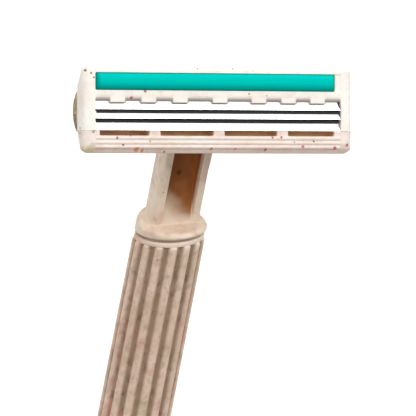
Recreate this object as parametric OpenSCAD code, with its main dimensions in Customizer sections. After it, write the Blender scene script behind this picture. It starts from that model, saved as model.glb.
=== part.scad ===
// Three-blade cartridge razor with a pivoting head that slides off its handle.
// Millimetres. +Z runs up the handle, X runs along the blades, and the blades face -Y.
// The origin is the middle of the handle's flat lower end.

/* [Handle] */
// Height of the seam between the grip and the collar
seam_z = 112; // [95:1:125]
// Radius of the grip just below its top ring
grip_top_r = 5.2; // [5.1:0.05:5.4]
// Radius of the grip at its lower end
grip_low_r = 5.7; // [5.4:0.05:6]
// Number of flutes round the grip
flute_count = 15; // [12:1:16]
// Radius of the round cutter that makes a flute
flute_r = 0.42; // [0.3:0.02:0.5]
// Height of the end cap below the grip
cap_h = 6; // [4:0.5:8]
// Height of the plain ring at the top of the grip
ring_h = 0.7; // [0.6:0.1:1.4]
// Radius of the plain ring at the top of the grip
ring_r = 5; // [4.8:0.05:5]

/* [Neck] */
// Radius of the collar
collar_r = 5.15; // [5.05:0.05:5.2]
// Height of the collar above the seam, on the handle's axis
collar_h = 2.3; // [2.2:0.1:2.6]
// Width of the neck
neck_w = 7.2; // [6.8:0.1:7.4]
// Distance from the handle's axis to the neck's front face
neck_front = 1.6; // [1.4:0.1:1.8]
// Distance from the handle's axis to the neck's back face
neck_back = 3.2; // [3.1:0.1:3.4]
// Height of the neck's shoulder above the seam
neck_h = 15; // [15:0.5:15.5]
// Width of the channel in the neck's front
channel_w = 4.7; // [4:0.1:5]
// Depth of the channel in the neck's front
channel_depth = 2; // [1.4:0.1:2]

/* [Head] */
// Length of the head along the blades
head_w = 42; // [40:0.5:44]
// Height of the face of the head
head_h = 12.3; // [12:0.1:12.6]
// Lean of the head's face back from the handle's axis, in degrees
face_tilt = 25; // [24:0.5:27]
// Distance from the handle's axis forward to the middle of the face
face_reach = 8.2; // [8.1:0.1:8.5]
// Height of the middle of the face above the seam
face_rise = 22.8; // [22.8:0.1:23.4]
// Thickness of the head's end walls
end_wall = 1.8; // [1.4:0.1:2]

/* [Blades] */
// Angle of the blades to the face, in degrees
blade_angle = 22; // [20:1:24]
// Thickness of a blade
blade_t = 0.1; // [0.08:0.01:0.12]
// Drop from the rear blade's edge to the middle blade's edge
middle_drop = 1.29; // [1.2:0.01:1.4]
// Drop from the rear blade's edge to the front blade's edge
front_drop = 2.94; // [2.8:0.01:3]

/* [Motion] */
// How far the head turns back on its pivot, in degrees
pivot_swing = 40; // [20:5:40]
// How far the button slides to push the cartridge off
eject_travel = 5; // [4:0.5:5]

/* [Hidden] */
$fn = 48;

slack = 0.05;           // clearance of a sliding or running fit
over = 0.5;             // how far a cutter runs past the face it opens

bore_r = 3.95;          // bore of the grip
spigot_r = bore_r - slack;
spigot_h = 14;
seal_half = 0.2;        // half the thickness of the collar's gasket
flute_turn = 3;         // turn of the first flute from the X axis, in degrees
collar_lean = 11;       // fall of the collar's top towards the front, in degrees
collar_foot = 0.3;      // bevel on the collar's lower edge
plug_h = 12;            // length of the end cap's plug
plug_seal_r = 0.48;     // radius of the plug seal's section
corner_r = 1.6;         // radius of the neck's back corners
channel_top_z = seam_z + 12.4;
channel_foot_z = seam_z + 2;
channel_run = 5.5;      // height over which the channel runs out
block_low_z = seam_z + 13.2;
block_reach = 2;        // how far the block under the tongue stands forward

tongue_w = 4.8;         // the tongue that the cartridge's socket slides over
tongue_h = 4.9;
tongue_front = 2.9;
tongue_back = 1.9;
socket_wall = 1.2;
socket_roof = 0.75;

slide_floor = 2;        // the button's bed in the neck's back, from the axis
slide_lip = 2.7;
slide_half = 2.2;
slot_half = 1.6;
button_z = seam_z + 4.6;
button_h = 5;
pad_top = 4;
ridge_r = 0.3;
ridge_pitch = 1;
window_z = button_z + 1.9;
window_h = 8;
coil_gap = 0.02;        // play at each end of a spring
spring_gap_half = 0.85;
spring_bed = 1.25;

edge_z = 0.07;          // the rear blade's edge, above the middle of the face
stack_back = 3;         // where the blade stack ends, behind the rear blade's edge
pin_back = 2.2;         // where the stake pins stand, behind the rear blade's edge
stake_r = 0.5;
stake_pitch = 12.4;
stake_gap = 0.02;
grind = 0.35;           // width of a blade's ground edge
rinse_x = 7.2;          // windows through the platform
rinse_w = 4.2;
rinse_h = 2.4;
rib_pitch = 4.85;
rib_count = 7;
rib_w = 0.5;
rib_set = 0.1;          // where a rib starts, behind the edge of the blade above it
spacer_set = 0.95;      // where the spacer's full thickness starts
apron_reach = 0.41;     // how far the spacer's thin apron lies ahead of that edge
apron_t = 0.15;
middle_w = middle_drop * sin(blade_angle);
front_w = front_drop * sin(blade_angle);
plate_front = front_w + blade_t / 2;
plate_back = plate_front + 0.8;
blade_half = head_w / 2 - end_wall - 0.25;

seam_t = -3;            // seam between housing and guard, from the middle of the face
slot_top = -2.35;       // the rinse slots between platform and guard bar
slot_low = -3.65;
web_w = 1.7;
web_pitch = 10;
guard_lip = 0.3;        // how far the guard's seam lip stands out at the ends
back_wall = 2;          // depth of the wall behind the slots
wall_depth = 2.5;       // depth of the end walls
ear_depth = 1.2;        // centre and radius of the round ears behind them
ear_r = 3.6;
pocket_low = 2.72;      // lower edge of the strip's pocket
pocket_high = 5.2;
pocket_depth = 0.8;
strip_gap = 1.1;        // bare length of the pocket to the right of the soap strip
strip_crown_r = 4;      // radius of the strip's crowned face
tab_w = 2.2;
tab_x = [-15.8, -11, -6.1, 0.1, 6.2, 10.9, 15.5];
inner_half = head_w / 2 - end_wall;
slot_left = -inner_half + 0.7;
slot_right = inner_half - 1;

pivot_depth = 4.4;      // pivot axis behind the face
pivot_up = 1;           // pivot axis above the middle of the face
pivot_y = -face_reach + pivot_up * sin(face_tilt) + pivot_depth * cos(face_tilt);
pivot_z = seam_z + face_rise + pivot_up * cos(face_tilt) - pivot_depth * sin(face_tilt);
pivot_pin_r = 0.6;
arm_r = 1.25;
arm_in = 3.3;
arm_out = 5;
arm_low_z = seam_z + 16.4;
arm_high_z = seam_z + 19.6;
pin_start = arm_in + 0.2;
pin_head_h = 0.3;
pin_head_r = 0.95;
lug_r = 1.3;
lug_in = arm_out + 0.1;
lug_out = lug_in + 1.2;

plunger_y = -1;
plunger_stem_r = 0.9;
plunger_guide_r = 1.05;
plunger_foot_z = seam_z + 17.2;
bore_floor_z = seam_z + 13.4;
guide_top_z = seam_z + 19.3;
cam_z = 1.8;            // underside of the cam above the pivot axis
cam_t = 1.1;
cam_half = 1.3;
cam_reach = 3.4;
plunger_top_z = pivot_z + cam_z - 0.03;

// Places its children on the head: Y is depth behind the face, Z is height on the face.
module on_head() {
    translate([0, -face_reach, seam_z + face_rise]) rotate([-face_tilt, 0, 0]) children();
}

// Places its children on a blade: Z runs back from the rear blade's edge, Y is below the blade.
module on_blade() {
    on_head() translate([0, 0, edge_z]) rotate([-blade_angle, 0, 0]) children();
}

// Extrudes a (Y, Z) outline along X, from x0 to x1.
module along_x(x0, x1) {
    translate([x0, 0, 0]) rotate([90, 0, 90]) linear_extrude(height = x1 - x0) children();
}

// A cylinder along X, from x0 to x1.
module rod_x(x0, x1, r) {
    translate([x0, 0, 0]) rotate([0, 90, 0]) cylinder(r = r, h = x1 - x0);
}

// A point on the head, [depth, height], from its place on the blades, back and below.
function blade_point(back, below) = [
    back * sin(blade_angle) + below * cos(blade_angle),
    edge_z + back * cos(blade_angle) - below * sin(blade_angle),
];

// A point in the upright (Y, Z) plane from its [depth, height] on the head.
function upright(p) = [
    -face_reach + p[1] * sin(face_tilt) + p[0] * cos(face_tilt),
    seam_z + face_rise + p[1] * cos(face_tilt) - p[0] * sin(face_tilt),
];

// A point on the head, [depth, height], from an upright offset from the pivot axis.
function from_pivot(y, z) = [
    pivot_depth + y * cos(face_tilt) - z * sin(face_tilt),
    pivot_up + y * sin(face_tilt) + z * cos(face_tilt),
];

// A round wire wound into an open coil along Z.
module coil(coil_r, wire_r, height, turns) {
    sides = 8;
    steps = turns * 14;
    rise = height - 2 * wire_r;
    points = [
        for (i = [0 : steps], j = [0 : sides - 1])
            let (turn = 360 * turns * i / steps, side = 360 * j / sides)
            let (r = coil_r + wire_r * cos(side))
            [r * cos(turn), r * sin(turn), wire_r + rise * i / steps + wire_r * sin(side)]
    ];
    walls = [
        for (i = [0 : steps - 1], j = [0 : sides - 1])
            let (a = i * sides, b = a + sides, k = (j + 1) % sides)
            [a + j, a + k, b + k, b + j]
    ];
    first = [for (j = [0 : sides - 1]) sides - 1 - j];
    last = [for (j = [0 : sides - 1]) steps * sides + j];
    polyhedron(points = points, faces = concat([first], walls, [last]), convexity = 10);
}

// Fluted grip, a tube with a plain ring at its top.
module handle_sleeve() {
    top = seam_z - seal_half;
    flute_top = top - ring_h;
    lean = atan((grip_low_r - grip_top_r) / (flute_top - cap_h));
    color("antiquewhite")
    difference() {
        rotate_extrude() polygon([
            [bore_r, cap_h],
            [grip_low_r, cap_h],
            [grip_top_r, flute_top],
            [ring_r, flute_top + 0.1],
            [ring_r, top - 0.25],
            [ring_r - 0.25, top],
            [bore_r, top],
        ]);
        for (i = [0 : flute_count - 1])
            rotate([0, 0, 360 * i / flute_count + flute_turn])
            translate([grip_low_r + 0.1, 0, cap_h - over])
            rotate([0, -lean, 0])
            cylinder(r = flute_r, h = flute_top - cap_h + over, $fn = 24);
    }
}

// Flat cap with a plug that closes the grip's lower end.
module end_cap() {
    seal_z = cap_h + plug_h / 2;
    seal_in = spigot_r - 2 * plug_seal_r;
    color("antiquewhite")
    rotate_extrude() polygon([
        [0, 0],
        [grip_low_r - 0.6, 0],
        [grip_low_r, 0.6],
        [grip_low_r, cap_h],
        [spigot_r, cap_h],
        [spigot_r, seal_z - plug_seal_r - slack],
        [seal_in, seal_z - plug_seal_r - slack],
        [seal_in, seal_z + plug_seal_r + slack],
        [spigot_r, seal_z + plug_seal_r + slack],
        [spigot_r, cap_h + plug_h - 0.5],
        [spigot_r - 0.5, cap_h + plug_h],
        [0, cap_h + plug_h],
    ]);
}

module end_cap_seal() {
    color("dimgray")
    translate([0, 0, cap_h + plug_h / 2])
    rotate_extrude() translate([spigot_r - plug_seal_r, 0]) circle(r = plug_seal_r);
}

// Gasket in the dark line between the collar and the grip.
module collar_seal() {
    color("dimgray")
    rotate_extrude() polygon([
        [spigot_r + slack, seam_z - seal_half],
        [ring_r - 0.45, seam_z - seal_half],
        [ring_r - 0.3, seam_z],
        [ring_r - 0.45, seam_z + seal_half],
        [spigot_r + slack, seam_z + seal_half],
    ]);
}

// Collar with its spigot, as one turned shape with a sloping top.
module collar() {
    foot = seam_z + seal_half;
    difference() {
        rotate_extrude() polygon([
            [0, seam_z - spigot_h],
            [spigot_r - 0.5, seam_z - spigot_h],
            [spigot_r, seam_z - spigot_h + 0.5],
            [spigot_r, foot],
            [collar_r - collar_foot, foot],
            [collar_r, foot + collar_foot],
            [collar_r, seam_z + 2 * collar_h],
            [0, seam_z + 2 * collar_h],
        ]);
        translate([0, 0, seam_z + collar_h])
        rotate([collar_lean, 0, 0])
        translate([-2 * collar_r, -2 * collar_r, 0])
        cube([4 * collar_r, 4 * collar_r, 2 * collar_r]);
    }
}

// Upright part of the neck, with round back corners.
module neck_column() {
    depth = neck_front + neck_back;
    translate([0, 0, seam_z + collar_h / 2])
    linear_extrude(height = neck_h - collar_h / 2) union() {
        translate([-neck_w / 2, -neck_front]) square([neck_w, depth - corner_r]);
        translate([-neck_w / 2 + corner_r, -neck_front]) square([neck_w - 2 * corner_r, depth]);
        for (side = [-1, 1])
            translate([side * (neck_w / 2 - corner_r), neck_back - corner_r])
            circle(r = corner_r);
    }
    // the forward block under the docking tongue
    along_x(-neck_w / 2, neck_w / 2) polygon([
        [0, block_low_z],
        [-neck_front, block_low_z],
        [-neck_front - block_reach, block_low_z + 1.2],
        [-neck_front - block_reach, seam_z + neck_h],
        [0, seam_z + neck_h],
    ]);
}

// Channelled neck with its collar, spigot and docking tongue.
module neck() {
    color("antiquewhite")
    difference() {
        union() {
            collar();
            neck_column();
            translate([-tongue_w / 2, -tongue_front, seam_z + neck_h - 1])
                cube([tongue_w, tongue_front + tongue_back, tongue_h + 1]);
        }
        // front channel, which runs out towards the collar
        along_x(-channel_w / 2, channel_w / 2) polygon([
            [-neck_front - over, block_low_z],
            [-neck_front - over, channel_foot_z],
            [-neck_front, channel_foot_z],
            [-neck_front + channel_depth, channel_foot_z + channel_run],
            [-neck_front + channel_depth, channel_top_z],
            [-neck_front, block_low_z],
        ]);
        // bed of the release button, open at the top
        translate([-slide_half, slide_floor, button_z - 0.2])
            cube([2 * slide_half, slide_lip - slide_floor, neck_h]);
        translate([-slot_half, slide_floor, button_z - 0.2])
            cube([2 * slot_half, neck_back, neck_h]);
        // bed of the button's spring
        translate([-spring_gap_half, spring_bed, window_z])
            cube([2 * spring_gap_half, neck_back, window_h]);
        // bore of the plunger, narrower at its mouth
        translate([0, plunger_y, bore_floor_z])
            cylinder(r = plunger_guide_r + slack, h = guide_top_z + slack - bore_floor_z);
        translate([0, plunger_y, bore_floor_z])
            cylinder(r = plunger_stem_r + slack, h = neck_h + tongue_h);
    }
}

// Slider on the neck's back, with a ridged thumb pad.
module release_button() {
    plate_y = slide_floor + slack;
    plate_t = slide_lip - slide_floor - 2 * slack;
    pad_half = slot_half - 0.1;
    color("mediumturquoise")
    difference() {
        union() {
            translate([-slide_half + 0.1, plate_y, button_z])
                cube([2 * (slide_half - 0.1), plate_t, seam_z + neck_h - button_z]);
            translate([-pad_half, plate_y, button_z])
                cube([2 * pad_half, pad_top - plate_y, button_h]);
            for (i = [0 : 4])
                translate([0, pad_top, button_z + (i + 0.5) * ridge_pitch])
                rod_x(-pad_half, pad_half, ridge_r, $fn = 24);
        }
        translate([-spring_gap_half, 0, window_z])
            cube([2 * spring_gap_half, slide_lip + slack, window_h]);
    }
}

module button_spring() {
    color("silver")
    translate([0, slide_floor, window_z + coil_gap])
    coil(0.56, 0.11, window_h - 2 * coil_gap, 9);
}

// Round-nosed pin that pushes up on the head's cam.
module plunger() {
    nose_z = plunger_top_z - plunger_stem_r;
    color("antiquewhite")
    translate([0, plunger_y, 0]) {
        translate([0, 0, plunger_foot_z])
            cylinder(r = plunger_guide_r, h = guide_top_z - plunger_foot_z);
        translate([0, 0, plunger_foot_z])
            cylinder(r = plunger_stem_r, h = nose_z - plunger_foot_z);
        translate([0, 0, nose_z]) sphere(r = plunger_stem_r);
    }
}

module plunger_spring() {
    color("silver")
    translate([0, plunger_y, bore_floor_z + coil_gap])
    coil(0.82, 0.12, plunger_foot_z - bore_floor_z - 2 * coil_gap, 5);
}

// Socket that docks on the tongue, with two arms that carry the head's pivot pins.
module pivot_yoke() {
    block_z = seam_z + neck_h + slack;
    block_half = tongue_w / 2 + slack + socket_wall;
    block_front = tongue_front + slack + 0.95;
    block_back = tongue_back + slack + 1.05;
    block_h = tongue_h + socket_roof;
    nose_gap = plate_back + slack;
    color("gainsboro")
    difference() {
        union() {
            translate([-block_half, -block_front, block_z])
                cube([2 * block_half, block_front + block_back, block_h]);
            for (side = [0, 1])
                mirror([side, 0, 0]) {
                    along_x(arm_in, arm_out) polygon([
                        upright(blade_point(-1.2, nose_gap)),
                        [-block_front, arm_low_z],
                        [1, arm_low_z],
                        [1, arm_high_z],
                        [pivot_y + 0.9, pivot_z + 0.8],
                        [pivot_y - 0.8, pivot_z + 0.1],
                        upright(blade_point(-0.2, nose_gap)),
                    ]);
                    translate([0, pivot_y, pivot_z]) rod_x(arm_in, arm_out, arm_r);
                }
        }
        translate([-tongue_w / 2 - slack, -tongue_front - slack, block_z - over])
            cube([tongue_w + 2 * slack, tongue_front + tongue_back + 2 * slack, tongue_h + over]);
        translate([0, plunger_y, block_z])
            cylinder(r = plunger_stem_r + 0.25, h = block_h + over);
        for (side = [0, 1])
            mirror([side, 0, 0])
            translate([0, pivot_y, pivot_z])
            rod_x(pin_start, arm_out + over, pivot_pin_r);
    }
}

// Headed steel pin from one arm of the yoke out through the head's lug.
module pivot_pin() {
    head_x = lug_out + slack;
    color("silver")
    translate([0, pivot_y, pivot_z]) {
        rod_x(pin_start, head_x + pin_head_h, pivot_pin_r);
        rod_x(head_x, head_x + pin_head_h, pin_head_r);
    }
}

module pivot_pin_left() {
    mirror([1, 0, 0]) pivot_pin();
}

module pivot_pin_right() {
    pivot_pin();
}

// Guard bar with its ridges, rinse slots, the platform under the blades, lugs and cam.
module guard_base() {
    half = head_w / 2;
    low = -head_h / 2;
    ridges = [[0.3, -3.98], [0.34, -4.62], [0.46, -5.22]];
    webs = [
        [-inner_half, slot_left],
        for (i = [-1 : 1]) [i * web_pitch - web_w / 2, i * web_pitch + web_w / 2],
        [slot_right, inner_half],
    ];
    color("antiquewhite")
    difference() {
        union() {
            on_head() {
                // guard bar
                along_x(-half + 0.15, half - 0.15) polygon([
                    [0.2, slot_low],
                    [0.2, -4.8],
                    [0.5, -5.5],
                    [1, low],
                    [1.4, low],
                    [2, -4.8],
                    [2.6, slot_low],
                ]);
                // wall behind the slots, open above
                along_x(-inner_half + 0.05, inner_half - 0.05) polygon([
                    [back_wall, slot_low - 0.1],
                    [back_wall, slot_top - 0.25],
                    [back_wall + 0.6, slot_top - 0.25],
                    [back_wall + 0.6, slot_low - 0.1],
                ]);
                for (r = ridges)
                    translate([0, r[0], r[1]]) rod_x(-inner_half, inner_half, 0.3, $fn = 32);
                // webs between the slots, and the end blocks
                for (web = webs)
                    along_x(web[0], web[1]) polygon([
                        [0.12, slot_low - 0.1],
                        [0.12, seam_t - 0.02],
                        [0.36, slot_top],
                        [1.1, slot_top - 0.15],
                        [2.4, seam_t - 0.02],
                        [2.4, slot_low - 0.1],
                    ]);
                for (side = [0, 1])
                    mirror([side, 0, 0]) {
                        along_x(inner_half - 0.05, half - 0.1) polygon([
                            [0, seam_t - 0.02],
                            [0, -4.7],
                            [0.35, -5.5],
                            [0.9, low],
                            [1.4, low],
                            [2.2, -4.3],
                            [wall_depth, seam_t - 0.4],
                            [wall_depth, seam_t - 0.02],
                        ]);
                        // thin lip that shows at the seam
                        along_x(inner_half, half + guard_lip) polygon([
                            [0.1, seam_t - 0.2],
                            [0.1, seam_t - 0.02],
                            [wall_depth - 0.1, seam_t - 0.02],
                            [wall_depth - 0.1, seam_t - 0.2],
                        ]);
                        // lug for the pivot pin
                        along_x(lug_in, lug_out) polygon([
                            blade_point(0, plate_back - 0.4),
                            [3.9, pivot_up - 1.15],
                            [4.5, pivot_up + 1.25],
                            blade_point(2.8, plate_back - 0.4),
                        ]);
                        translate([0, pivot_depth, pivot_up]) rod_x(lug_in, lug_out, lug_r);
                    }
                // cam that rests on the plunger
                along_x(-cam_half, cam_half) polygon([
                    blade_point(2, plate_back - 0.3),
                    from_pivot(0.6, cam_z),
                    from_pivot(cam_reach, cam_z),
                    from_pivot(cam_reach, cam_z + cam_t),
                    from_pivot(-0.2, cam_z + cam_t),
                    blade_point(2.9, plate_back - 0.3),
                ]);
            }
            // platform under the front blade
            on_blade()
                translate([-inner_half + 0.1, plate_front, -2.1])
                cube([2 * inner_half - 0.2, plate_back - plate_front, stack_back + 2.1]);
        }
        // corners of the webs and the end blocks stay below the front blade
        on_blade()
            translate([-inner_half + 0.05, -3, -2.95])
            cube([2 * inner_half - 0.1, plate_front + 3, 6]);
        on_head()
            translate([0, pivot_depth, pivot_up])
            rod_x(-half, half, pivot_pin_r + slack);
        // rinse windows in the platform
        on_blade()
            for (side = [0, 1], i = [0, 1])
                mirror([side, 0, 0])
                translate([rinse_x + i * stake_pitch / 2, plate_front - over, -rinse_h / 2])
                cube([rinse_w, plate_back - plate_front + 2 * over, rinse_h]);
        stake_pins(stake_gap);
    }
}

// Upper moulding: end walls, rear ears, and the cap with its pocket and tabs.
module cartridge_housing() {
    half = head_w / 2;
    top = head_h / 2;
    lip = 1.25;
    color("antiquewhite")
    difference() {
        on_head() {
            // cap across the head
            difference() {
                along_x(-half + 1, half - 1) polygon([
                    [0.3, lip],
                    [0.02, 1.95],
                    [0, pocket_low],
                    [0, top - 0.5],
                    [0.4, top],
                    [1.1, top],
                    [1.6, top - 1],
                    [wall_depth, 4.2],
                    [wall_depth, 2.36],
                    blade_point(stack_back + slack, -blade_t / 2),
                    blade_point(1.26, -blade_t / 2),
                ]);
                translate([-inner_half, -over, pocket_low])
                    cube([2 * inner_half, pocket_depth + over, pocket_high - pocket_low]);
            }
            // tabs on the rear blade
            for (x = tab_x)
                along_x(x - tab_w / 2, x + tab_w / 2) polygon([
                    [0.06, 1.9],
                    [0.1, 1],
                    [0.17, 0.93],
                    blade_point(0.93, -blade_t / 2),
                    blade_point(1.8, -blade_t / 2),
                ]);
            // end walls with their round rear ears
            for (side = [0, 1])
                mirror([side, 0, 0]) {
                    along_x(inner_half, half) polygon([
                        [0, seam_t],
                        [0, top - 0.5],
                        [0.4, top],
                        [1.1, top],
                        [1.5, top - 1.3],
                        [wall_depth, 3.4],
                        [wall_depth, seam_t],
                    ]);
                    intersection() {
                        translate([0, ear_depth, -0.3]) rod_x(inner_half, half - 0.3, ear_r);
                        translate([0, 1, seam_t]) cube([half, 6, 8]);
                    }
                }
        }
        stake_pins(stake_gap);
    }
}

// Soap strip, shorter than its pocket and pushed to the left end.
module lubricating_strip() {
    gap = 0.03;
    low = pocket_low + gap;
    high = pocket_high - gap;
    crown = 0.3;
    color("darkturquoise")
    on_head()
    intersection() {
        translate([-inner_half + gap, -1, low])
            cube([2 * inner_half - strip_gap, 1 + pocket_depth - gap, high - low]);
        translate([0, strip_crown_r - crown, (low + high) / 2])
            rod_x(-inner_half, inner_half, strip_crown_r, $fn = 96);
    }
}

// Thin blade with a ground edge, from its drop below the rear edge and its depth in the stack.
module blade(drop, below) {
    front = -drop * cos(blade_angle);
    half_t = blade_t / 2;
    color("silver")
    difference() {
        on_blade()
            along_x(-blade_half, blade_half) polygon([
                [below, front],
                [below + half_t, front + grind],
                [below + half_t, stack_back],
                [below - half_t, stack_back],
                [below - half_t, front + grind],
            ]);
        stake_pins(slack);
    }
}

module blade_rear() {
    blade(0, 0);
}

module blade_middle() {
    blade(middle_drop, middle_w);
}

module blade_front() {
    blade(front_drop, front_w);
}

// Spacer under one blade, with ribs in the gap and a thin apron on the blade below.
module spacer(drop, above, below) {
    front = -drop * cos(blade_angle);
    half_t = blade_t / 2;
    y0 = above + half_t;
    thick = below - above - blade_t;
    color("dimgray")
    difference() {
        on_blade() {
            translate([-blade_half, y0, front + spacer_set])
                cube([2 * blade_half, thick, stack_back - front - spacer_set]);
            for (i = [0 : rib_count - 1])
                translate([(i - (rib_count - 1) / 2) * rib_pitch - rib_w / 2, y0, front + rib_set])
                cube([rib_w, thick, spacer_set - rib_set + 0.1]);
            translate([-blade_half, y0 + thick - apron_t, front - apron_reach])
                cube([2 * blade_half, apron_t, apron_reach + spacer_set + 0.1]);
        }
        stake_pins(stake_gap);
    }
}

module spacer_rear() {
    spacer(0, 0, middle_w);
}

module spacer_front() {
    spacer(middle_drop, middle_w, front_w);
}

// One pin through the cap, the blades, the spacers and the platform.
module stake_pin(x, grow = 0) {
    on_blade()
        translate([x, -0.4 - grow, pin_back])
        rotate([-90, 0, 0])
        cylinder(r = stake_r + grow, h = plate_back + 0.4 + 2 * grow);
}

module stake_pins(grow) {
    for (x = [-stake_pitch, 0, stake_pitch])
        stake_pin(x, grow);
}

module stake_pin_left() {
    color("lightgray") stake_pin(-stake_pitch);
}

module stake_pin_centre() {
    color("lightgray") stake_pin(0);
}

module stake_pin_right() {
    color("lightgray") stake_pin(stake_pitch);
}

handle_sleeve();
end_cap();
end_cap_seal();
neck();
collar_seal();
release_button();
button_spring();
plunger();
plunger_spring();
pivot_yoke();
pivot_pin_left();
pivot_pin_right();
guard_base();
cartridge_housing();
lubricating_strip();
blade_rear();
blade_middle();
blade_front();
spacer_rear();
spacer_front();
stake_pin_left();
stake_pin_centre();
stake_pin_right();
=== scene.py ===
"""Looks of the cartridge razor: detailed pieces, materials, light and camera round the CAD frame."""

import math

import bmesh
import bpy
from mathutils import Matrix, Vector, noise

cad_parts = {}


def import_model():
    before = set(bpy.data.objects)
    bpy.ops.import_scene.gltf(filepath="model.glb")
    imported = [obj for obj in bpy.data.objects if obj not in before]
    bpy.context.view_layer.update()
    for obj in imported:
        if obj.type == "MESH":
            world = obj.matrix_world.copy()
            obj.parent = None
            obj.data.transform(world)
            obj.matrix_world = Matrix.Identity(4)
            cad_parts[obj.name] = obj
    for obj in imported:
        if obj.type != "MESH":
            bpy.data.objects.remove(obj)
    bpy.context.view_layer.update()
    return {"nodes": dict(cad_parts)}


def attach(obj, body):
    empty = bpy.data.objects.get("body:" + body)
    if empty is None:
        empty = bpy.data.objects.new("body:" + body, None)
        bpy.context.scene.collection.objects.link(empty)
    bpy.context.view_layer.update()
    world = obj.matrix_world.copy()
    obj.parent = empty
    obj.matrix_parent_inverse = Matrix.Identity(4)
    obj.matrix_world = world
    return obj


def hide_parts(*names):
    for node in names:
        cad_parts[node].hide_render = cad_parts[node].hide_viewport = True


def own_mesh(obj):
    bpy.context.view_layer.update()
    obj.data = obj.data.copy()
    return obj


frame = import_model()
nodes = frame["nodes"]
MM = 0.001

# ---------------------------------------------------------------- places on the frame, in millimetres

FACE_TILT = math.radians(25)        # lean of the head's face
BLADE_TILT = math.radians(22)       # blades to the face
FACE_MIDDLE = Vector((0, -8.2, 134.8))
EDGE_UP = 0.07                      # the rear blade's edge, above the middle of the face

# Head frame: X along the blades, Y depth behind the face, Z height on the face.
ON_HEAD = Matrix.Translation(FACE_MIDDLE) @ Matrix.Rotation(-FACE_TILT, 4, "X")
# Blade frame: Z runs back from the rear blade's edge, Y is below the blade.
ON_BLADE = ON_HEAD @ Matrix.Translation((0, 0, EDGE_UP)) @ Matrix.Rotation(-BLADE_TILT, 4, "X")
UPRIGHT = Matrix.Identity(4)

FACE_LEAN = math.degrees(FACE_TILT)
# Turned by FACE_LEAN about X, then shifted by this, a place is in the head frame.
HEAD_SHIFT = -(Matrix.Rotation(FACE_TILT, 3, "X") @ FACE_MIDDLE)

# ---------------------------------------------------------------- node helpers


class Nodes:
    """A short way to write a material's node tree. Lengths are in millimetres."""

    def __init__(self, name):
        self.material = bpy.data.materials.new(name)
        self.material.use_nodes = True
        self.tree = self.material.node_tree
        self.shader = self.tree.nodes["Principled BSDF"]
        self.place = self.add("ShaderNodeTexCoord").outputs["Object"]

    def add(self, kind, inputs=None, **settings):
        node = self.tree.nodes.new(kind)
        for key, value in settings.items():
            setattr(node, key, value)
        for key, value in (inputs or {}).items():
            self.put(node.inputs[key], value)
        return node

    def put(self, socket, value):
        if isinstance(value, bpy.types.NodeSocket):
            self.tree.links.new(value, socket)
        else:
            socket.default_value = value

    def set(self, **values):
        for key, value in values.items():
            self.put(self.shader.inputs[key.replace("_", " ")], value)

    def math(self, operation, *values):
        node = self.add("ShaderNodeMath", operation=operation)
        for socket, value in zip(node.inputs, values):
            self.put(socket, value)
        return node.outputs[0]

    def mix(self, factor, a, b):
        """Colour a, turning to b as the factor goes from 0 to 1."""
        node = self.add("ShaderNodeMix", data_type="RGBA")
        self.put(node.inputs[0], factor)
        self.put(node.inputs[6], a)
        self.put(node.inputs[7], b)
        return node.outputs[2]

    def step(self, value, low, high, to_low=0.0, to_high=1.0):
        """Smooth ramp as value goes from low to high."""
        node = self.add("ShaderNodeMapRange", interpolation_type="SMOOTHSTEP")
        for socket, number in zip(node.inputs, (value, low, high, to_low, to_high)):
            self.put(socket, number)
        return node.outputs[0]

    def space(self, scale=(1, 1, 1), turn=(0, 0, 0), shift=(0, 0, 0)):
        """Object coordinates in millimetres, scaled, then turned, then shifted."""
        node = self.add("ShaderNodeMapping", {"Vector": self.place})
        node.inputs["Scale"].default_value = [s / MM for s in scale]
        node.inputs["Rotation"].default_value = [math.radians(a) for a in turn]
        node.inputs["Location"].default_value = shift
        return node.outputs[0]

    def axes(self, vector):
        return self.add("ShaderNodeSeparateXYZ", {"Vector": vector}).outputs

    def noise(self, scale, detail=3.0, turn=(0, 0, 0), shift=(0, 0, 0)):
        scale = scale if isinstance(scale, tuple) else (scale,) * 3
        inputs = {"Vector": self.space(scale, turn, shift), "Scale": 1.0, "Detail": detail, "Roughness": 0.55}
        return self.add("ShaderNodeTexNoise", inputs).outputs[0]

    def bump(self, height, distance, strength=1.0):
        inputs = {"Height": height, "Distance": distance * MM, "Strength": strength}
        return self.add("ShaderNodeBump", inputs).outputs[0]


def rgb(red, green, blue):
    """Linear colour from screen values of 0 to 255."""
    linear = [((c / 255 + 0.055) / 1.055) ** 2.4 if c > 10 else c / 255 / 12.92 for c in (red, green, blue)]
    return (*linear, 1.0)


# ---------------------------------------------------------------- materials


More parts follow.
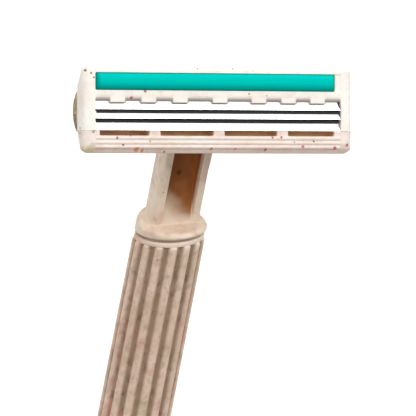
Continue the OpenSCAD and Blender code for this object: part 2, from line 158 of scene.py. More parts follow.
def specks(n, colour, per_mm, size, share, seed, inks, strength):
    """Scatters flakes: one to a cell, in share of the cells, each in one of the inks."""
    around = n.space((2.4,) * 3, shift=(seed, 0, 0))
    wobble = n.add("ShaderNodeTexNoise", {"Vector": around, "Scale": 1.0}).outputs[1]
    bent = n.add("ShaderNodeVectorMath", {0: wobble, 1: (0.25,) * 3}, operation="MULTIPLY").outputs[0]
    cell_space = n.space((per_mm,) * 3, shift=(seed, seed, 0))
    where = n.add("ShaderNodeVectorMath", {0: cell_space, 1: bent}).outputs[0]
    cells = n.add("ShaderNodeTexVoronoi", {"Vector": where, "Scale": 1.0, "Randomness": 1.0})
    chance, pick, scale = n.axes(cells.outputs["Color"])
    radius = n.math("MULTIPLY", n.step(scale, 0, 1, 0.45, 1.0), size * per_mm)
    inside = n.math("SUBTRACT", 1.0, n.step(n.math("DIVIDE", cells.outputs["Distance"], radius), 0.6, 1.0))
    chosen = n.math("LESS_THAN", chance, share)
    palette = n.add("ShaderNodeValToRGB", {"Fac": pick})
    stops = palette.color_ramp.elements
    palette.color_ramp.interpolation = "CONSTANT"
    stops[0].color = inks[0]
    stops[1].position = 1 / len(inks)
    stops[1].color = inks[1]
    for i, ink in enumerate(inks[2:], 2):
        stops.new(i / len(inks)).color = ink
    mask = n.math("MULTIPLY", n.math("MULTIPLY", inside, chosen), strength)
    return n.mix(mask, colour, palette.outputs[0])


RED_BROWN, BROWN, ORANGE, OLIVE = rgb(170, 40, 72), rgb(112, 62, 44), rgb(214, 112, 30), rgb(150, 136, 84)


def fibre_plastic(name, pale, deep, clouding, flakes, detail=None):
    """Cream plastic filled with plant fibre: clouds, short fibres and scattered coloured flakes.

    Clouding is the strength of its rosy, sage and dark clouds, and flakes that of its fibres and flakes.
    """
    n = Nodes(name)
    colour = n.mix(n.step(n.noise(0.16, 4.0), 0.35, 0.68), pale, deep)
    rosy = n.math("MULTIPLY", n.step(n.noise(0.4, 4.0, shift=(7, 3, 1)), 0.5, 0.72), clouding)
    colour = n.mix(rosy, colour, rgb(204, 146, 134))
    sage = n.math("MULTIPLY", n.step(n.noise(0.36, 4.0, shift=(2, 9, 4)), 0.52, 0.74), clouding)
    colour = n.mix(sage, colour, rgb(178, 164, 124))
    dark = n.math("MULTIPLY", n.step(n.noise(0.8, 5.0, shift=(4, 1, 8)), 0.52, 0.78), clouding)
    colour = n.mix(dark, colour, rgb(150, 122, 104))
    fibres = None
    for turn in ((20, 35, 10), (-50, 10, 65), (80, -30, 15)):
        strand = n.step(n.noise((0.6, 5.5, 5.5), 2.0, turn, turn), 0.67, 0.76)
        fibres = strand if fibres is None else n.math("MAXIMUM", fibres, strand)
    colour = n.mix(n.math("MULTIPLY", fibres, 0.24 * flakes), colour, rgb(168, 128, 96))
    colour = specks(n, colour, 0.34, 0.34, 0.34, 3, (RED_BROWN, OLIVE, ORANGE, BROWN), 0.8 * flakes)
    colour = specks(n, colour, 0.62, 0.22, 0.3, 11, (BROWN, RED_BROWN, RED_BROWN, OLIVE), 0.85 * flakes)
    if detail:
        colour = detail(n, colour)
    grain = n.math("ADD", n.noise(1.6, 4.0), n.math("MULTIPLY", n.noise(7.0, 3.0), 0.35))
    rough = n.step(n.noise(0.9, 4.0, shift=(5, 5, 5)), 0.3, 0.7, 0.42, 0.54)
    n.set(Base_Color=colour, Roughness=rough, Normal=n.bump(grain, 0.035, 0.5))
    n.set(Subsurface_Weight=0.12, Subsurface_Radius=(1.0, 0.55, 0.3), Subsurface_Scale=0.6 * MM)
    return n.material


def fleck(n, colour, across, place, size, ink, strength=0.85):
    """One large fleck of filler at a place, with a ragged edge."""
    gap = n.add("ShaderNodeVectorMath", {0: across, 1: (*place, 0)}, operation="DISTANCE").outputs["Value"]
    ragged = n.math("ADD", gap, n.math("MULTIPLY", n.math("SUBTRACT", n.noise(2.6, 3.0), 0.5), size * 1.1))
    return n.mix(n.math("MULTIPLY", n.step(ragged, size, size * 0.55), strength), colour, ink)


def on_face(n):
    """Distance along the head, behind its face, and up its face."""
    return n.axes(n.space(turn=(FACE_LEAN, 0, 0), shift=HEAD_SHIFT))


def flat_place(n, across, up):
    return n.add("ShaderNodeCombineXYZ", {0: across, 1: up, 2: 0.0}).outputs[0]


def housing_detail(n, colour):
    """Painted shade on the lip over the rear blade and in the crease under it, painted shade with a darker
    rim on the pivot ears, and the large flecks of the cap.
    """
    x, depth, up = on_face(n)
    side = n.math("ABSOLUTE", x)
    # Painted shade on the lip's lower face, which faces down over the rear blade
    lip_shade = n.math("MULTIPLY", n.step(up, 1.98, 1.3), n.step(up, 0.9, 1.2))
    lip_shade = n.math("MULTIPLY", lip_shade, n.step(depth, 0.04, 0.16))
    lip_shade = n.math("MULTIPLY", lip_shade, n.step(side, 19.25, 19.1))
    colour = n.mix(n.math("MULTIPLY", lip_shade, 0.8), colour, rgb(112, 98, 92))
    # Painted shade in the crease under the lip, above the rear blade
    under = n.math("MULTIPLY", n.step(up, 1.08, 0.98), n.step(side, 19.25, 19.1))
    colour = n.mix(n.math("MULTIPLY", under, 0.85), colour, rgb(100, 88, 82))
    # Painted shade on the pivot ears behind the end walls: olive and brown blotches, with a darker painted
    # rim
    ear_shade = n.mix(n.step(n.noise(0.7, 3.0, shift=(1, 6, 2)), 0.42, 0.56), rgb(206, 168, 130), rgb(160, 146, 92))
    ear_shade = n.mix(n.step(n.noise(0.8, 3.0, shift=(9, 2, 5)), 0.44, 0.6), ear_shade, rgb(112, 80, 56))
    ear_middle = (1.2, -0.3, 0)
    ear = n.add("ShaderNodeVectorMath", {0: flat_place(n, depth, up), 1: ear_middle}, operation="DISTANCE")
    ear_shade = n.mix(n.step(ear.outputs["Value"], 3.2, 3.5), ear_shade, rgb(96, 80, 62))
    colour = n.mix(n.math("MULTIPLY", n.step(depth, 2.5, 2.62), n.step(side, 19.0, 19.2)), colour, ear_shade)
    across = flat_place(n, x, up)
    for place, size, ink in (
        ((-13.7, 1.65), 0.3, RED_BROWN), ((-11.6, 2.6), 0.26, RED_BROWN), ((-20.6, 5.45), 0.2, BROWN),
        ((-19.9, 5.1), 0.2, RED_BROWN), ((-19.5, 4.5), 0.17, BROWN), ((-3.4, 5.85), 0.16, BROWN),
        ((2.1, 5.9), 0.16, RED_BROWN), ((7.4, 2.1), 0.14, OLIVE), ((4.6, 2.3), 0.16, RED_BROWN),
    ):
        colour = fleck(n, colour, across, place, size, ink)
    return colour


def guard_detail(n, colour):
    """Painted amber shade deep inside the rinse slots, painted shade on the lower band, an olive tint at the
    lower left end, and the large flecks of the guard.
    """
    x, depth, up = on_face(n)
    side = n.math("ABSOLUTE", x)
    # Painted shade deep inside the rinse slots, in amber
    inside = n.math("MULTIPLY", n.step(depth, 0.4, 0.8), n.step(up, -2.2, -2.6))
    inside = n.math("MULTIPLY", inside, n.step(up, -3.95, -3.7))
    inside = n.math("MULTIPLY", inside, n.step(side, 18.9, 18.6))
    amber = n.mix(n.step(n.noise(0.3, 3.0), 0.4, 0.6), rgb(204, 158, 106), rgb(186, 136, 100))
    colour = n.mix(inside, colour, amber)
    # Painted shade on the guard's lower band, which faces down
    low = n.step(up, -4.9, -5.9)
    colour = n.mix(n.math("MULTIPLY", low, 0.3), colour, rgb(206, 160, 136))
    olive = n.math("MULTIPLY", n.step(x, -18.9, -19.6), n.step(up, -4.7, -5.6))
    colour = n.mix(n.math("MULTIPLY", olive, 0.5), colour, rgb(186, 174, 112))
    across = flat_place(n, x, up)
    for place, size, ink in (
        ((-12.75, -5.65), 0.46, ORANGE), ((-11.8, -5.8), 0.3, ORANGE), ((-13.8, -3.6), 0.22, RED_BROWN),
        ((-10.8, -4.5), 0.2, OLIVE), ((-14.9, -5.0), 0.2, BROWN), ((-8.3, -5.95), 0.2, BROWN),
        ((-1.2, -5.5), 0.24, RED_BROWN), ((2.6, -5.5), 0.22, ORANGE), ((7.4, -5.6), 0.28, RED_BROWN),
        ((8.3, -3.85), 0.22, RED_BROWN), ((9.7, -3.85), 0.22, RED_BROWN), ((13.2, -5.15), 0.3, RED_BROWN),
        ((14.9, -4.4), 0.2, BROWN), ((18.3, -5.35), 0.34, RED_BROWN), ((20.2, -4.9), 0.27, RED_BROWN),
        ((-15.9, -4.0), 0.24, RED_BROWN), ((-19.6, -3.15), 0.3, OLIVE), ((11.8, -4.5), 0.18, OLIVE),
    ):
        colour = fleck(n, colour, across, place, size, ink)
    return colour


def neck_detail(n, colour):
    """Painted shade in the channel under the head: amber brown, most on its right wall, fading down its ramp.
    """
    half, front, bed, mouth = 2.3, -1.62, 0.7, 125.4    # the channel's width, depths and upper end
    x, y, z = n.axes(n.space())
    back = n.math("SUBTRACT", y, n.step(x, half - 0.2, half, 0.0, 0.7))
    inside = n.math("MULTIPLY", n.step(n.math("ABSOLUTE", x), half + 0.22, half), n.step(back, front, -1.0))
    below = n.math("MULTIPLY", n.step(y, bed + 0.3, bed), n.step(z, mouth + 0.6, mouth))
    inside = n.math("MULTIPLY", inside, below)
    # The painted shade's lower edge is ragged and lies lower at the right
    edge = n.math("ADD", z, n.math("MULTIPLY", x, 0.8))
    edge = n.math("ADD", edge, n.math("MULTIPLY", n.math("SUBTRACT", n.noise(0.5, 3.0), 0.5), 2.5))
    brown = n.mix(n.step(n.noise(0.35, 4.0), 0.35, 0.65), rgb(156, 98, 56), rgb(138, 86, 46))
    brown = n.mix(n.step(x, 1.4, 2.25), brown, rgb(172, 106, 54))
    # Painted shade: a lighter tan low on the ramp, darker on the right wall, and amber brown deep under the
    # head
    colour = n.mix(n.math("MULTIPLY", inside, n.step(edge, 112.8, 116.8)), colour, rgb(180, 146, 118))
    wall = n.math("MULTIPLY", inside, n.step(x, 2.15, 2.32))
    colour = n.mix(n.math("MULTIPLY", wall, n.step(z, 113.6, 115.4)), colour, rgb(154, 106, 70))
    deep = n.math("MULTIPLY", inside, n.step(edge, 115.5, 118.3))
    colour = n.mix(deep, colour, brown)
    n.set(Specular_IOR_Level=n.step(deep, 0.0, 1.0, 0.5, 0.05))
    across = flat_place(n, x, z)
    mark = fleck(n, colour, across, (-0.15, 121.05), 0.5, rgb(84, 44, 22), 0.75)
    colour = n.mix(n.step(y, -1.55, -1.2), colour, mark)
    return colour


def flute_detail(n, colour):
    """Painted shade in the flutes, redder at the left and darker where blotched, blotches over the grip, and
    the top ring painted pale as painted light.

    The grip's mesh says how deep in a flute each vertex lies, from 0 to 1.
    """
    flute = n.add("ShaderNodeAttribute", attribute_name="flute").outputs["Fac"]
    x, _, z = n.axes(n.space())
    # Painted shade for the flutes, in blotched browns
    groove_shade = n.mix(n.step(n.noise(0.3, 4.0, shift=(3, 8, 2)), 0.42, 0.62), rgb(130, 98, 74), rgb(116, 84, 56))
    # Painted light on the top ring above the flutes
    ring = n.math("MULTIPLY", n.step(z, 110.8, 111.6), n.step(flute, 0.3, 0.05))
    colour = n.mix(n.math("MULTIPLY", ring, 0.6), colour, rgb(238, 220, 206))
    # The painted shade is redder at the left
    left = n.math("MULTIPLY", n.step(x, -3.0, -4.2), n.step(n.noise(0.3, 3.0, shift=(6, 1, 3)), 0.48, 0.64))
    groove_shade = n.mix(left, groove_shade, rgb(160, 94, 62))
    blots = n.step(n.noise((1.3, 1.3, 0.8), 4.0, shift=(8, 2, 6)), 0.5, 0.68)
    blots = n.math("MULTIPLY", blots, n.step(z, 111.2, 110.4))
    colour = n.mix(n.math("MULTIPLY", blots, 0.4), colour, rgb(156, 126, 102))
    # The flutes take the painted shade by their depth, and darker painted shade where blotched
    colour = n.mix(n.math("MULTIPLY", n.step(flute, 0.08, 0.9), 0.78), colour, groove_shade)
    return n.mix(n.math("MULTIPLY", blots, n.step(flute, 0.3, 0.9, 0.0, 0.45)), colour, rgb(84, 60, 44))


def soap():
    """Pressed soap: turquoise with faint drawn streaks along its length, with painted shade towards its lower
    edge and at its left end.
    """
    n = Nodes("soap_strip")
    streaks = n.noise((0.05, 3.2, 3.2), 4.0, (FACE_LEAN, 0, 0))
    clouds = n.noise(0.3, 3.0)
    colour = n.mix(n.step(streaks, 0.3, 0.7), rgb(0, 184, 172), rgb(0, 191, 179))
    colour = n.mix(n.math("MULTIPLY", n.step(clouds, 0.5, 0.75), 0.4), colour, rgb(0, 196, 184))
    x, _, up = on_face(n)
    # Painted shade: darker towards the strip's lower edge, and at its left end against the pocket's wall
    colour = n.mix(n.step(up, 4.2, 2.95), colour, rgb(0, 164, 152))
    colour = n.mix(n.math("MULTIPLY", n.step(x, -18.4, -19.1), 0.6), colour, rgb(0, 120, 108))
    height = n.math("ADD", streaks, n.math("MULTIPLY", n.noise(5.0, 3.0), 0.3))
    n.set(Base_Color=colour, Roughness=n.step(clouds, 0.3, 0.7, 0.5, 0.62), Normal=n.bump(height, 0.03, 0.5))
    n.set(Specular_IOR_Level=0.0)
    return n.material


def metal(name, colour, rough, lines, scratch=0.15):
    """Steel with drawn or ground lines: lines is the noise scale on each axis."""
    n = Nodes(name)
    brushed = n.noise(lines, 4.0)
    tone = n.mix(n.step(brushed, 0.3, 0.7), colour, (*[min(1.0, c * 1.08) for c in colour[:3]], 1))
    n.set(Base_Color=tone, Metallic=1.0, Roughness=n.step(brushed, 0.3, 0.7, rough * 0.8, rough * 1.25))
    n.set(Normal=n.bump(brushed, 0.004, scratch))
    return n.material


def moulded(name, colour, other, rough, grain=1.8):
    """Plain moulded plastic or rubber with a fine matt grain and slight clouding."""
    n = Nodes(name)
    clouds = n.noise(0.3, 4.0)
    fine = n.math("ADD", n.noise(grain, 4.0), n.math("MULTIPLY", n.noise(grain * 5, 2.0), 0.5))
    n.set(Base_Color=n.mix(n.step(clouds, 0.35, 0.65), colour, other), Normal=n.bump(fine, 0.02, 0.4))
    n.set(Roughness=n.step(fine, 0.4, 1.1, rough - 0.06, rough + 0.08))
    return n.material


# One fibre plastic in lit and shaded copies, as painted light and shade: the head palest, the guard a little
# darker, the neck, grip and end cap darkest
HEAD_LIT_TONES = (rgb(242, 237, 229), rgb(239, 230, 220))
GUARD_SHADED_TONES = (rgb(233, 220, 210), rgb(227, 208, 196))
NECK_SHADED_TONES = (rgb(229, 211, 190), rgb(219, 197, 174))
GRIP_SHADED_TONES = (rgb(222, 198, 178), rgb(207, 180, 157))

head_plastic = fibre_plastic("head_fibre_plastic", *HEAD_LIT_TONES, 0.16, 1.0, housing_detail)
guard_plastic = fibre_plastic("guard_fibre_plastic", *GUARD_SHADED_TONES, 0.26, 1.0, guard_detail)
neck_plastic = fibre_plastic("neck_fibre_plastic", *NECK_SHADED_TONES, 0.42, 0.7, neck_detail)
cap_plastic = fibre_plastic("cap_fibre_plastic", *GRIP_SHADED_TONES, 0.42, 0.7)
grip_plastic = fibre_plastic("grip_fibre_plastic", *GRIP_SHADED_TONES, 0.6, 0.75, flute_detail)
soap_strip = soap()
blade_steel = metal("blade_steel", (0.8, 0.8, 0.8, 1), 0.16, (0.15, 14, 14), scratch=0.08)
pin_steel = metal("pin_steel", (0.62, 0.61, 0.6, 1), 0.24, (9, 2, 2))
spring_steel = metal("spring_steel", (0.55, 0.54, 0.52, 1), 0.28, (6, 6, 6))
# Black spacers as painted shade and painted reflection: they stand for the dark gaps under the blades' edges
spacer_painted_shade = moulded("spacer_plastic", rgb(8, 8, 9), rgb(15, 15, 16), 0.75)
seal_rubber = moulded("seal_rubber", rgb(168, 148, 132), rgb(156, 134, 118), 0.7)
button_plastic = moulded("button_plastic", rgb(0, 182, 166), rgb(8, 194, 178), 0.42)
yoke_plastic = moulded("yoke_plastic", rgb(226, 212, 196), rgb(216, 200, 182), 0.4)

# ---------------------------------------------------------------- mesh helpers


def face_outward(mesh):
    work = bmesh.new()
    work.from_mesh(mesh)
    bmesh.ops.recalc_face_normals(work, faces=work.faces)
    work.to_mesh(mesh)
    work.free()


def weld(mesh, distance=1e-4):
    work = bmesh.new()
    work.from_mesh(mesh)
    bmesh.ops.remove_doubles(work, verts=work.verts, dist=distance)
    work.to_mesh(mesh)
    work.free()
    face_outward(mesh)


def cad_mesh(node, space):
    """A copy of a CAD node's mesh, in millimetres, in space."""
    mesh = nodes[node].data.copy()
    mesh.transform(space.inverted() @ Matrix.Scale(1 / MM, 4))
    weld(mesh)
    return mesh


def bar(x0, x1, outline):
    """A bar along X with its (Y, Z) outline, as a mesh."""
    count = len(outline)
    points = [(x, y, z) for x in (x0, x1) for y, z in outline]
    walls = [(i, (i + 1) % count, count + (i + 1) % count, count + i) for i in range(count)]
    mesh = bpy.data.meshes.new("bar")
    mesh.from_pydata(points, [], [tuple(range(count)), tuple(range(count, 2 * count)), *walls])
    weld(mesh)
    return mesh


def finish_piece(name, mesh, space, body, material, replaced, smooth_angle=None):
    """Puts a mesh, in millimetres in space, on the frame as a piece that stands for CAD nodes."""
    mesh.transform(Matrix.Scale(MM, 4) @ space)
    mesh.materials.clear()
    mesh.materials.append(material)
    mesh.polygons.foreach_set("use_smooth", [True] * len(mesh.polygons))
    if smooth_angle:
        mesh.set_sharp_from_angle(angle=math.radians(smooth_angle))
    obj = bpy.data.objects.new(name, mesh)
    bpy.context.scene.collection.objects.link(obj)
    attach(obj, body)
    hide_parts(*replaced)
    return obj


def joined(meshes):
    work = bmesh.new()
    for mesh in meshes:
        work.from_mesh(mesh)
    whole = bpy.data.meshes.new("joined")
    work.to_mesh(whole)
    work.free()
    return whole


def worked(mesh, *modifiers, weights=None):
    """The mesh after modifiers, each as (kind, settings). Weights make the vertex group "where"."""
    obj = bpy.data.objects.new("worked", mesh)
    bpy.context.scene.collection.objects.link(obj)
    if weights:
        group = obj.vertex_groups.new(name="where")
        for vertex in mesh.vertices:
            weight = weights(vertex.co)
            if weight > 0:
                group.add([vertex.index], weight, "REPLACE")
    for kind, settings in modifiers:
        step = obj.modifiers.new(kind.lower(), kind)
        for key, value in settings.items():
            setattr(step, key, value)
    made = bpy.data.meshes.new_from_object(obj.evaluated_get(bpy.context.evaluated_depsgraph_get()))
    bpy.data.objects.remove(obj)
    return made


def soften(meshes, voxel, rounds, keep, shape=None, melt=None):
    """One closed skin round the meshes, with small radii on every edge.

    Shape moves each vertex, and melt gives the weight of a stronger smoothing at a place.
    """
    voxel *= 1
    skin = ("REMESH", {"mode": "VOXEL", "voxel_size": voxel})
    mesh = worked(joined(meshes), skin, ("SMOOTH", {"factor": 0.5, "iterations": rounds}))
    if melt:
        ease = ("SMOOTH", {"factor": 0.5, "iterations": 90, "vertex_group": "where"})
        mesh = worked(mesh, ease, weights=melt)
    if shape:
        for vertex in mesh.vertices:
            shape(vertex.co)
    return worked(mesh, ("DECIMATE", {"ratio": keep}))


def moulding(node, body, slot, material, space, voxel, rounds, keep, extra=(), **more):
    """A CAD node as a soft-edged moulding, with extra meshes joined to it."""
    mesh = soften([cad_mesh(node, space), *extra], voxel, rounds, keep, **more)
    return finish_piece(node + "_moulding", mesh, space, body, material, [node])


# ---------------------------------------------------------------- head

# Middles of the seven tabs over the rear blade, which aren't evenly spaced
TAB_X = (-15.8, -11, -6.1, 0.1, 6.2, 10.9, 15.5)


def tab_flare(x):
    """Sloping shoulders on both sides of a tab, which fall back from its face."""
    half, spread, low, high = 1.08, 0.5, 0.96, 1.95
    mesh = bpy.data.meshes.new("flare")
    points = [(x + w, y, z) for y, w_half in ((0.04, half), (0.55, half + spread)) for z in (low, high)
              for w in (-w_half, w_half)]
    faces = [(0, 1, 3, 2), (4, 6, 7, 5), (0, 2, 6, 4), (1, 5, 7, 3), (0, 4, 5, 1), (2, 3, 7, 6)]
    mesh.from_pydata(points, [], faces)
    weld(mesh)
    return mesh


def rounder(*corners):
    """A shape that rounds corners. Each is where two faces (axis, side, distance) meet, and a radius."""
    def shape(place):
        for (a, side_a, face_a), (b, side_b, face_b), radius in corners:
            middle_a, middle_b = face_a - radius, face_b - radius
            u, v = side_a * place[a] - middle_a, side_b * place[b] - middle_b
            far = math.hypot(u, v)
            if u > 0 and v > 0 and far > radius:
                place[a] = side_a * (middle_a + u * radius / far)
                place[b] = side_b * (middle_b + v * radius / far)
    return shape


HALF_W, HALF_H = 21.0, 6.15         # half the head's width and its face's height
LEFT_END, RIGHT_END = (0, -1, HALF_W), (0, 1, HALF_W)
TOP, BOTTOM, FACE = (2, 1, HALF_H), (2, -1, HALF_H), (1, -1, 0)
housing_shape = rounder(
    (LEFT_END, FACE, 1.5), (RIGHT_END, FACE, 0.8), (TOP, FACE, 0.5),
    (LEFT_END, TOP, 1.1), (RIGHT_END, TOP, 0.8),
)
guard_shape = rounder(
    (LEFT_END, FACE, 1.4), (RIGHT_END, FACE, 0.9), (LEFT_END, BOTTOM, 1.1), (RIGHT_END, BOTTOM, 1.2),
)
# Fills the right end of the strip's pocket, where the strip stops short
pocket_end = bar(18.25, 19.4, [(0.12, 2.5), (1.4, 2.5), (1.4, 5.4), (0.12, 5.4)])
moulding(
    "cartridge_housing", "head", "fibre_plastic", head_plastic, ON_HEAD, voxel=0.08, rounds=4, keep=0.3,
    extra=[pocket_end, *(tab_flare(x) for x in TAB_X)], shape=housing_shape,
)
moulding(
    "guard_base", "head", "fibre_plastic", guard_plastic, ON_HEAD, voxel=0.08, rounds=3, keep=0.3,
    shape=guard_shape,
)


def strip():
    """Crowned soap bar with rounded ends, slightly wavy along its length."""
    low, high = 2.75, 5.17
    left, right = -19.15, 18.12
    middle, half = (low + high) / 2, (high - low) / 2
    base, shoulder, crown, end_round = 0.76, 0.4, 0.78, 0.7
    across, ends = 24, 8
    stops = [left + end_round * (1 - math.cos(math.pi / 2 * i / ends)) for i in range(ends)]
    stops += [left + end_round + (right - left - 2 * end_round) * i / 60 for i in range(61)]
    stops += [right - end_round * (1 - math.sin(math.pi / 2 * i / ends)) for i in range(1, ends + 1)]
    rows = []
    for x in stops:
        u = max(0.0, left + end_round - x, x - (right - end_round)) / end_round
        end = max(0.0, 1 - u**2.6) ** 0.45
        row = [(x, base, middle - half)]
        for i in range(across + 1):
            v = -math.cos(math.pi * i / across)
            swell = max(0.0, 1 - abs(v) ** 2.6) ** 0.5
            wave = 0.018 * noise.noise(Vector((x * 0.22, v * 1.3, 4)))
            row.append((x, shoulder - (crown + wave) * swell * end, middle + half * v))
        row.append((x, base, middle + half))
        rows.append(row)
    count = len(rows[0])
    faces = [tuple(range(count)), tuple(range((len(rows) - 1) * count, len(rows) * count))]
    for r in range(len(rows) - 1):
        for i in range(count):
            k = (i + 1) % count
            faces.append((r * count + i, r * count + k, (r + 1) * count + k, (r + 1) * count + i))
    mesh = bpy.data.meshes.new("strip")
    mesh.from_pydata([p for row in rows for p in row], [], faces)
    weld(mesh, 1e-6)
    finish_piece("soap_strip", mesh, ON_HEAD, "head", soap_strip, ["lubricating_strip"], 50)


strip()


def blade(name, drop):
    """Thin ground blade, with its right end cut on a slant."""
    below = drop * math.sin(BLADE_TILT)
    front = -drop * math.cos(BLADE_TILT)
    half_t, back, grind, hone = 0.05, 3.0, 0.4, 0.09
    outline = [
        (0, 0), (0.016, hone), (half_t, grind), (half_t, back - front),
        (-half_t, back - front), (-half_t, grind), (-0.016, hone),
    ]
    left, right, slant = -19.19, 19.08, 0.5
    count = len(outline)
    points = [(left, below + y, front + z) for y, z in outline]
    points += [(right - slant * min(z, 1.5), below + y, front + z) for y, z in outline]
    walls = [(i, (i + 1) % count, count + (i + 1) % count, count + i) for i in range(count)]
    mesh = bpy.data.meshes.new(name)
    mesh.from_pydata(points, [], [tuple(range(count)), tuple(range(count, 2 * count)), *walls])
    weld(mesh, 1e-6)
    finish_piece(name + "_ground", mesh, ON_BLADE, "head", blade_steel, [name], 1)


for name, drop in (("blade_rear", 0), ("blade_middle", 1.29), ("blade_front", 2.94)):
    blade(name, drop)

# ---------------------------------------------------------------- neck, yoke, button, plunger and end cap


def ramp(value, low, high):
    """Smooth ramp from 0 at low to 1 at high."""
    u = min(1.0, max(0.0, (value - low) / (high - low)))
    return u * u * (3 - 2 * u)


SEAM_Z = 112                        # level of the CAD's seam between grip and collar
COLLAR_R, COLLAR_TOP = 5.15, 114.3
COLLAR_SLOPE = 0.194                # rise of the collar's top towards its back
NECK_LEFT, NECK_RIGHT, NECK_FRONT = (0, -1, 3.6), (0, 1, 3.6), (1, -1, 1.6)
rail_shape = rounder((NECK_LEFT, NECK_FRONT, 0.8), (NECK_RIGHT, NECK_FRONT, 0.45))


def seam_rise(x, y):
    """How far the slanted seam stands above the level one: it falls to the left and to the back."""
    return 0.15 * x - 0.128 * y - 0.02


def crown_rise(x, y):
    """How much further the collar's top moves than its seam: it is lowest at the right and the back."""
    return -0.046 * x - 0.075 * y - 0.6


def neck_shape(place):
    """Rounds the rails and the collar's rim, and slants the collar, which dies out up the neck."""
    rim, across = 0.7, math.hypot(place.x, place.y)
    top = COLLAR_TOP + COLLAR_SLOPE * place.y
    out, up = across - COLLAR_R + rim, place.z - top + rim
    far = math.hypot(out, up)
    if out > 0 and 0 < up < rim + 0.1 and far > rim:
        place.x *= (COLLAR_R - rim + out * rim / far) / across
        place.y *= (COLLAR_R - rim + out * rim / far) / across
        place.z = top - rim + up * rim / far
    fade = 1 - ramp(place.z, 113.2, 117.5)
    collar = ramp(place.z, 111.2, 112.0) * fade
    crown = ramp(place.z, 112.0, 113.8) * fade
    soft = ramp(place.z, 113.5, 115.0) * ramp(place.z, 124.0, 122.0)
    rounded = place.copy()
    rail_shape(rounded)
    place += (rounded - place) * soft
    place.z += collar * seam_rise(place.x, place.y) + crown * crown_rise(place.x, place.y)


def near_collar(place):
    """Weight of the smoothing that blends the neck's foot into the collar, more round it than under it."""
    low, high = 112.6, 116.5
    weight = max(0.0, min(1.0, (place.z - low) / 0.5) * min(1.0, (high - place.z) / 1.5))
    return weight * (0.9 if math.hypot(place.x, place.y) > 4.1 or place.y < -1.8 else 0.45)


moulding(
    "neck", "handle", "fibre_plastic", neck_plastic, UPRIGHT, voxel=0.09, rounds=5, keep=0.25,
    shape=neck_shape, melt=near_collar,
)
for node, body, slot, material, voxel, rounds, keep in (
    ("end_cap", "handle", "fibre_plastic", cap_plastic, 0.12, 4, 0.25),
    ("pivot_yoke", "yoke", "yoke_plastic", yoke_plastic, 0.09, 3, 0.25),
    ("release_button", "button", "button_plastic", button_plastic, 0.06, 3, 0.3),
    ("plunger", "plunger", "yoke_plastic", yoke_plastic, 0.06, 2, 0.3),
):
    moulding(node, body, slot, material, UPRIGHT, voxel, rounds, keep)

# ---------------------------------------------------------------- grip

FLUTES = 15
FLUTE_TURN = 3                      # turn of the first flute from the X axis, in degrees


def grip():
    """Fluted sleeve with softly crowned ridges. Each row is (radius, height, flute depth as a share)."""
    bore, low_r, top_r, ring_r, low, top = 3.95, 5.7, 5.2, 5.0, 6.0, 111.8
    shoulder = 111.1
    depth, half_width, per_flute = 0.5, 0.9, 20
    rows = [(bore, low, 0), (bore, top, 0), (ring_r - 0.25, top, 0)]
    edge = 0.2
    for a in (0.3, 0.7, 1.1, 1.5):
        rows.append((ring_r - edge + edge * math.sin(a), top - edge + edge * math.cos(a), 0))
    rows += [(ring_r, shoulder + 0.1, 0), (ring_r - 0.03, shoulder + 0.02, 0)]
    crown_h, crown_in = 0.26, 0.18  # the ridges' rounded upper ends
    heights = [shoulder - down for down in (0.03, 0.08, 0.16, crown_h, 0.5)] + [110]
    heights += [109 - 1.5 * i for i in range(69)] + [low + 0.3]
    for z in heights:
        r = top_r + (low_r - top_r) * (shoulder - z) / (shoulder - low)
        crown = max(0.0, 1 - (shoulder - z) / crown_h)
        rows.append((r - crown_in * crown**2, z, 1.0))
    rows.append((low_r - 0.02, low, 1.0))
    around = FLUTES * per_flute
    points, values = [], []
    for r, z, share in rows:
        for i in range(around):
            off = (i % per_flute) / per_flute
            off = min(off, 1 - off) * 2 * math.pi * r / FLUTES
            dip = (0.5 + 0.5 * math.cos(math.pi * min(1.0, off / half_width))) * share
            radius = r - depth * dip - 0.05 * share * (1 - min(1.0, off / 1.1))
            angle = 2 * math.pi * i / around + math.radians(FLUTE_TURN)
            x, y = radius * math.cos(angle), radius * math.sin(angle)
            points.append((x, y, z + ramp(z, 104, 111) * seam_rise(x, y)))
            values.append(dip)
    faces = []
    for a in range(len(rows)):
        b = (a + 1) % len(rows)
        for i in range(around):
            k = (i + 1) % around
            faces.append((a * around + i, a * around + k, b * around + k, b * around + i))
    mesh = bpy.data.meshes.new("grip")
    mesh.from_pydata(points, [], faces)
    mesh.attributes.new("flute", "FLOAT", "POINT").data.foreach_set("value", values)
    face_outward(mesh)
    finish_piece("grip_sleeve", mesh, UPRIGHT, "handle", grip_plastic, ["handle_sleeve"], 60)


grip()


def gasket():
    """Rubber ring in the slanted seam."""
    inner, outer, half = 3.98, 4.72, 0.2
    outline = [(inner, -half), (outer - 0.12, -half), (outer, 0), (outer - 0.12, half), (inner, half)]
    around, count = 96, len(outline)
    points = []
    for i in range(around):
        turn = 2 * math.pi * i / around
        for r, up in outline:
            x, y = r * math.cos(turn), r * math.sin(turn)
            points.append((x, y, SEAM_Z + up + seam_rise(x, y)))
    faces = []
    for i in range(around):
        a, b = i * count, (i + 1) % around * count
        faces += [(a + j, a + (j + 1) % count, b + (j + 1) % count, b + j) for j in range(count)]
    mesh = bpy.data.meshes.new("gasket")
    mesh.from_pydata(points, [], faces)
    weld(mesh, 1e-6)
    finish_piece("seam_gasket", mesh, UPRIGHT, "handle", seal_rubber, ["collar_seal"], 40)


gasket()

# ---------------------------------------------------------------- springs


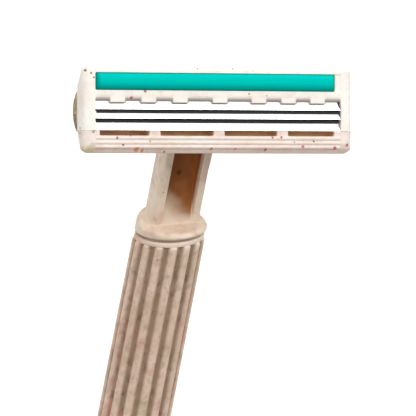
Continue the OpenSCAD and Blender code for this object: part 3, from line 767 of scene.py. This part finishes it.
def coil_spring(name, node, centre, coil_r, wire_r, low, high, turns):
    """Round-wire spring with closed ends."""
    sides, per_turn, dead = 10, 28, 0.8
    steps = int(turns * per_turn)
    points = []
    rise = high - low - 2 * wire_r
    for i in range(steps + 1):
        share = i / steps
        lift = min(max((share * turns - dead) / (turns - 2 * dead), 0), 1)
        pitch = 2 * wire_r * 1.02 * dead
        z = low + wire_r + lift * (rise - 2 * pitch) + pitch * min(share * turns / dead, 1)
        z += pitch * max(0, (share * turns - turns + dead) / dead)
        turn = 2 * math.pi * turns * share
        for j in range(sides):
            a = 2 * math.pi * j / sides
            r = coil_r + wire_r * math.cos(a)
            x, y = centre[0] + r * math.cos(turn), centre[1] + r * math.sin(turn)
            points.append((x, y, z + wire_r * math.sin(a)))
    faces = [tuple(range(sides)), tuple(range(steps * sides, (steps + 1) * sides))]
    for i in range(steps):
        for j in range(sides):
            k = (j + 1) % sides
            faces.append((i * sides + j, i * sides + k, (i + 1) * sides + k, (i + 1) * sides + j))
    mesh = bpy.data.meshes.new(name)
    mesh.from_pydata(points, [], faces)
    face_outward(mesh)
    obj = finish_piece(name, mesh, UPRIGHT, "handle", spring_steel, [node])
    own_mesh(obj)


coil_spring(
    "button_coil", "button_spring", (0, 2.0), 0.56, 0.11, 118.52, 126.48, 11,
)
coil_spring(
    "plunger_coil", "plunger_spring", (0, -1.0), 0.82, 0.12, 125.42, 129.18, 6,
)

# ---------------------------------------------------------------- CAD nodes that stay

kept = {
    "end_cap_seal": seal_rubber,
    # The spacers' black is painted shade under the blades' edges
    "spacer_rear": spacer_painted_shade, "spacer_front": spacer_painted_shade,
    "pivot_pin_left": pin_steel, "pivot_pin_right": pin_steel,
    "stake_pin_left": pin_steel, "stake_pin_centre": pin_steel, "stake_pin_right": pin_steel,
}
for name, material in kept.items():
    nodes[name].data.materials.clear()
    nodes[name].data.materials.append(material)

# ---------------------------------------------------------------- floor, light and camera


def floor():
    """A plain pale floor, which adds no bounced light, so that the razor is lit as in the open."""
    half = 3.0
    corners = [(-half, -half, 0), (half, -half, 0), (half, half, 0), (-half, half, 0)]
    mesh = bpy.data.meshes.new("floor")
    mesh.from_pydata(corners, [], [(0, 1, 2, 3)])
    mesh.materials.append(moulded("floor_white", rgb(242, 242, 242), rgb(244, 244, 243), 0.85, 0.05))
    obj = bpy.data.objects.new("floor", mesh)
    bpy.context.scene.collection.objects.link(obj)
    obj.visible_diffuse = False


def sun(name, azimuth, elevation, strength, width):
    """A soft distant lamp. Azimuth 0 stands in front of the razor, and 90 to its right."""
    lamp = bpy.data.lights.new(name, "SUN")
    lamp.energy = strength
    lamp.angle = math.radians(width)
    obj = bpy.data.objects.new(name, lamp)
    bpy.context.scene.collection.objects.link(obj)
    a, e = math.radians(azimuth), math.radians(elevation)
    towards = Vector((math.sin(a) * math.cos(e), -math.cos(a) * math.cos(e), math.sin(e)))
    obj.rotation_mode = "QUATERNION"
    obj.rotation_quaternion = towards.to_track_quat("Z", "Y")


def world(below, level, above):
    """A studio dome: dim below, brighter level with the razor, brightest overhead."""
    sky = bpy.data.worlds.new("studio")
    sky.use_nodes = True
    tree = sky.node_tree
    place = tree.nodes.new("ShaderNodeTexCoord")
    axes = tree.nodes.new("ShaderNodeSeparateXYZ")
    tree.links.new(place.outputs["Generated"], axes.inputs[0])
    tones = tree.nodes.new("ShaderNodeValToRGB")
    up = tree.nodes.new("ShaderNodeMapRange")
    up.inputs[1].default_value, up.inputs[2].default_value = -1.0, 1.0
    tree.links.new(axes.outputs[2], up.inputs[0])
    tree.links.new(up.outputs[0], tones.inputs[0])
    stops = tones.color_ramp.elements
    stops[0].position, stops[0].color = 0.4, (*[below] * 3, 1)
    stops[1].position, stops[1].color = 0.55, (*[level] * 3, 1)
    stops.new(0.9).color = (*[above] * 3, 1)
    tree.links.new(tones.outputs[0], tree.nodes["Background"].inputs[0])
    bpy.context.scene.world = sky
    bpy.context.scene.view_settings.view_transform = "Standard"


def camera(azimuth, elevation, roll, distance, lens, aim):
    """A camera left of the razor's front, rolled so that the head lies level in the frame."""
    a, e, r = (math.radians(v) for v in (azimuth, elevation, roll))
    back = Vector((-math.sin(a) * math.cos(e), -math.cos(a) * math.cos(e), math.sin(e)))
    level = Vector((math.cos(a), -math.sin(a), 0))
    up = back.cross(level)
    right = level * math.cos(r) + up * math.sin(r)
    top = up * math.cos(r) - level * math.sin(r)
    data = bpy.data.cameras.new("camera")
    data.sensor_width = 36
    data.lens = lens
    data.clip_start, data.clip_end = 0.01, 20
    obj = bpy.data.objects.new("camera", data)
    bpy.context.scene.collection.objects.link(obj)
    turn = Matrix((right, top, back)).transposed().to_4x4()
    obj.matrix_world = Matrix.Translation((aim + back * distance) * MM) @ turn
    bpy.context.scene.camera = obj


floor()
sun("key", azimuth=32, elevation=44, strength=1.2, width=28)
sun("fill", azimuth=-72, elevation=20, strength=1.0, width=60)
world(below=0.35, level=0.42, above=1.15)
aim = Vector((2.65, -5.28, 118.07))
camera(azimuth=27.2, elevation=22.76, roll=11.11, distance=718.7, lens=432.4, aim=aim)
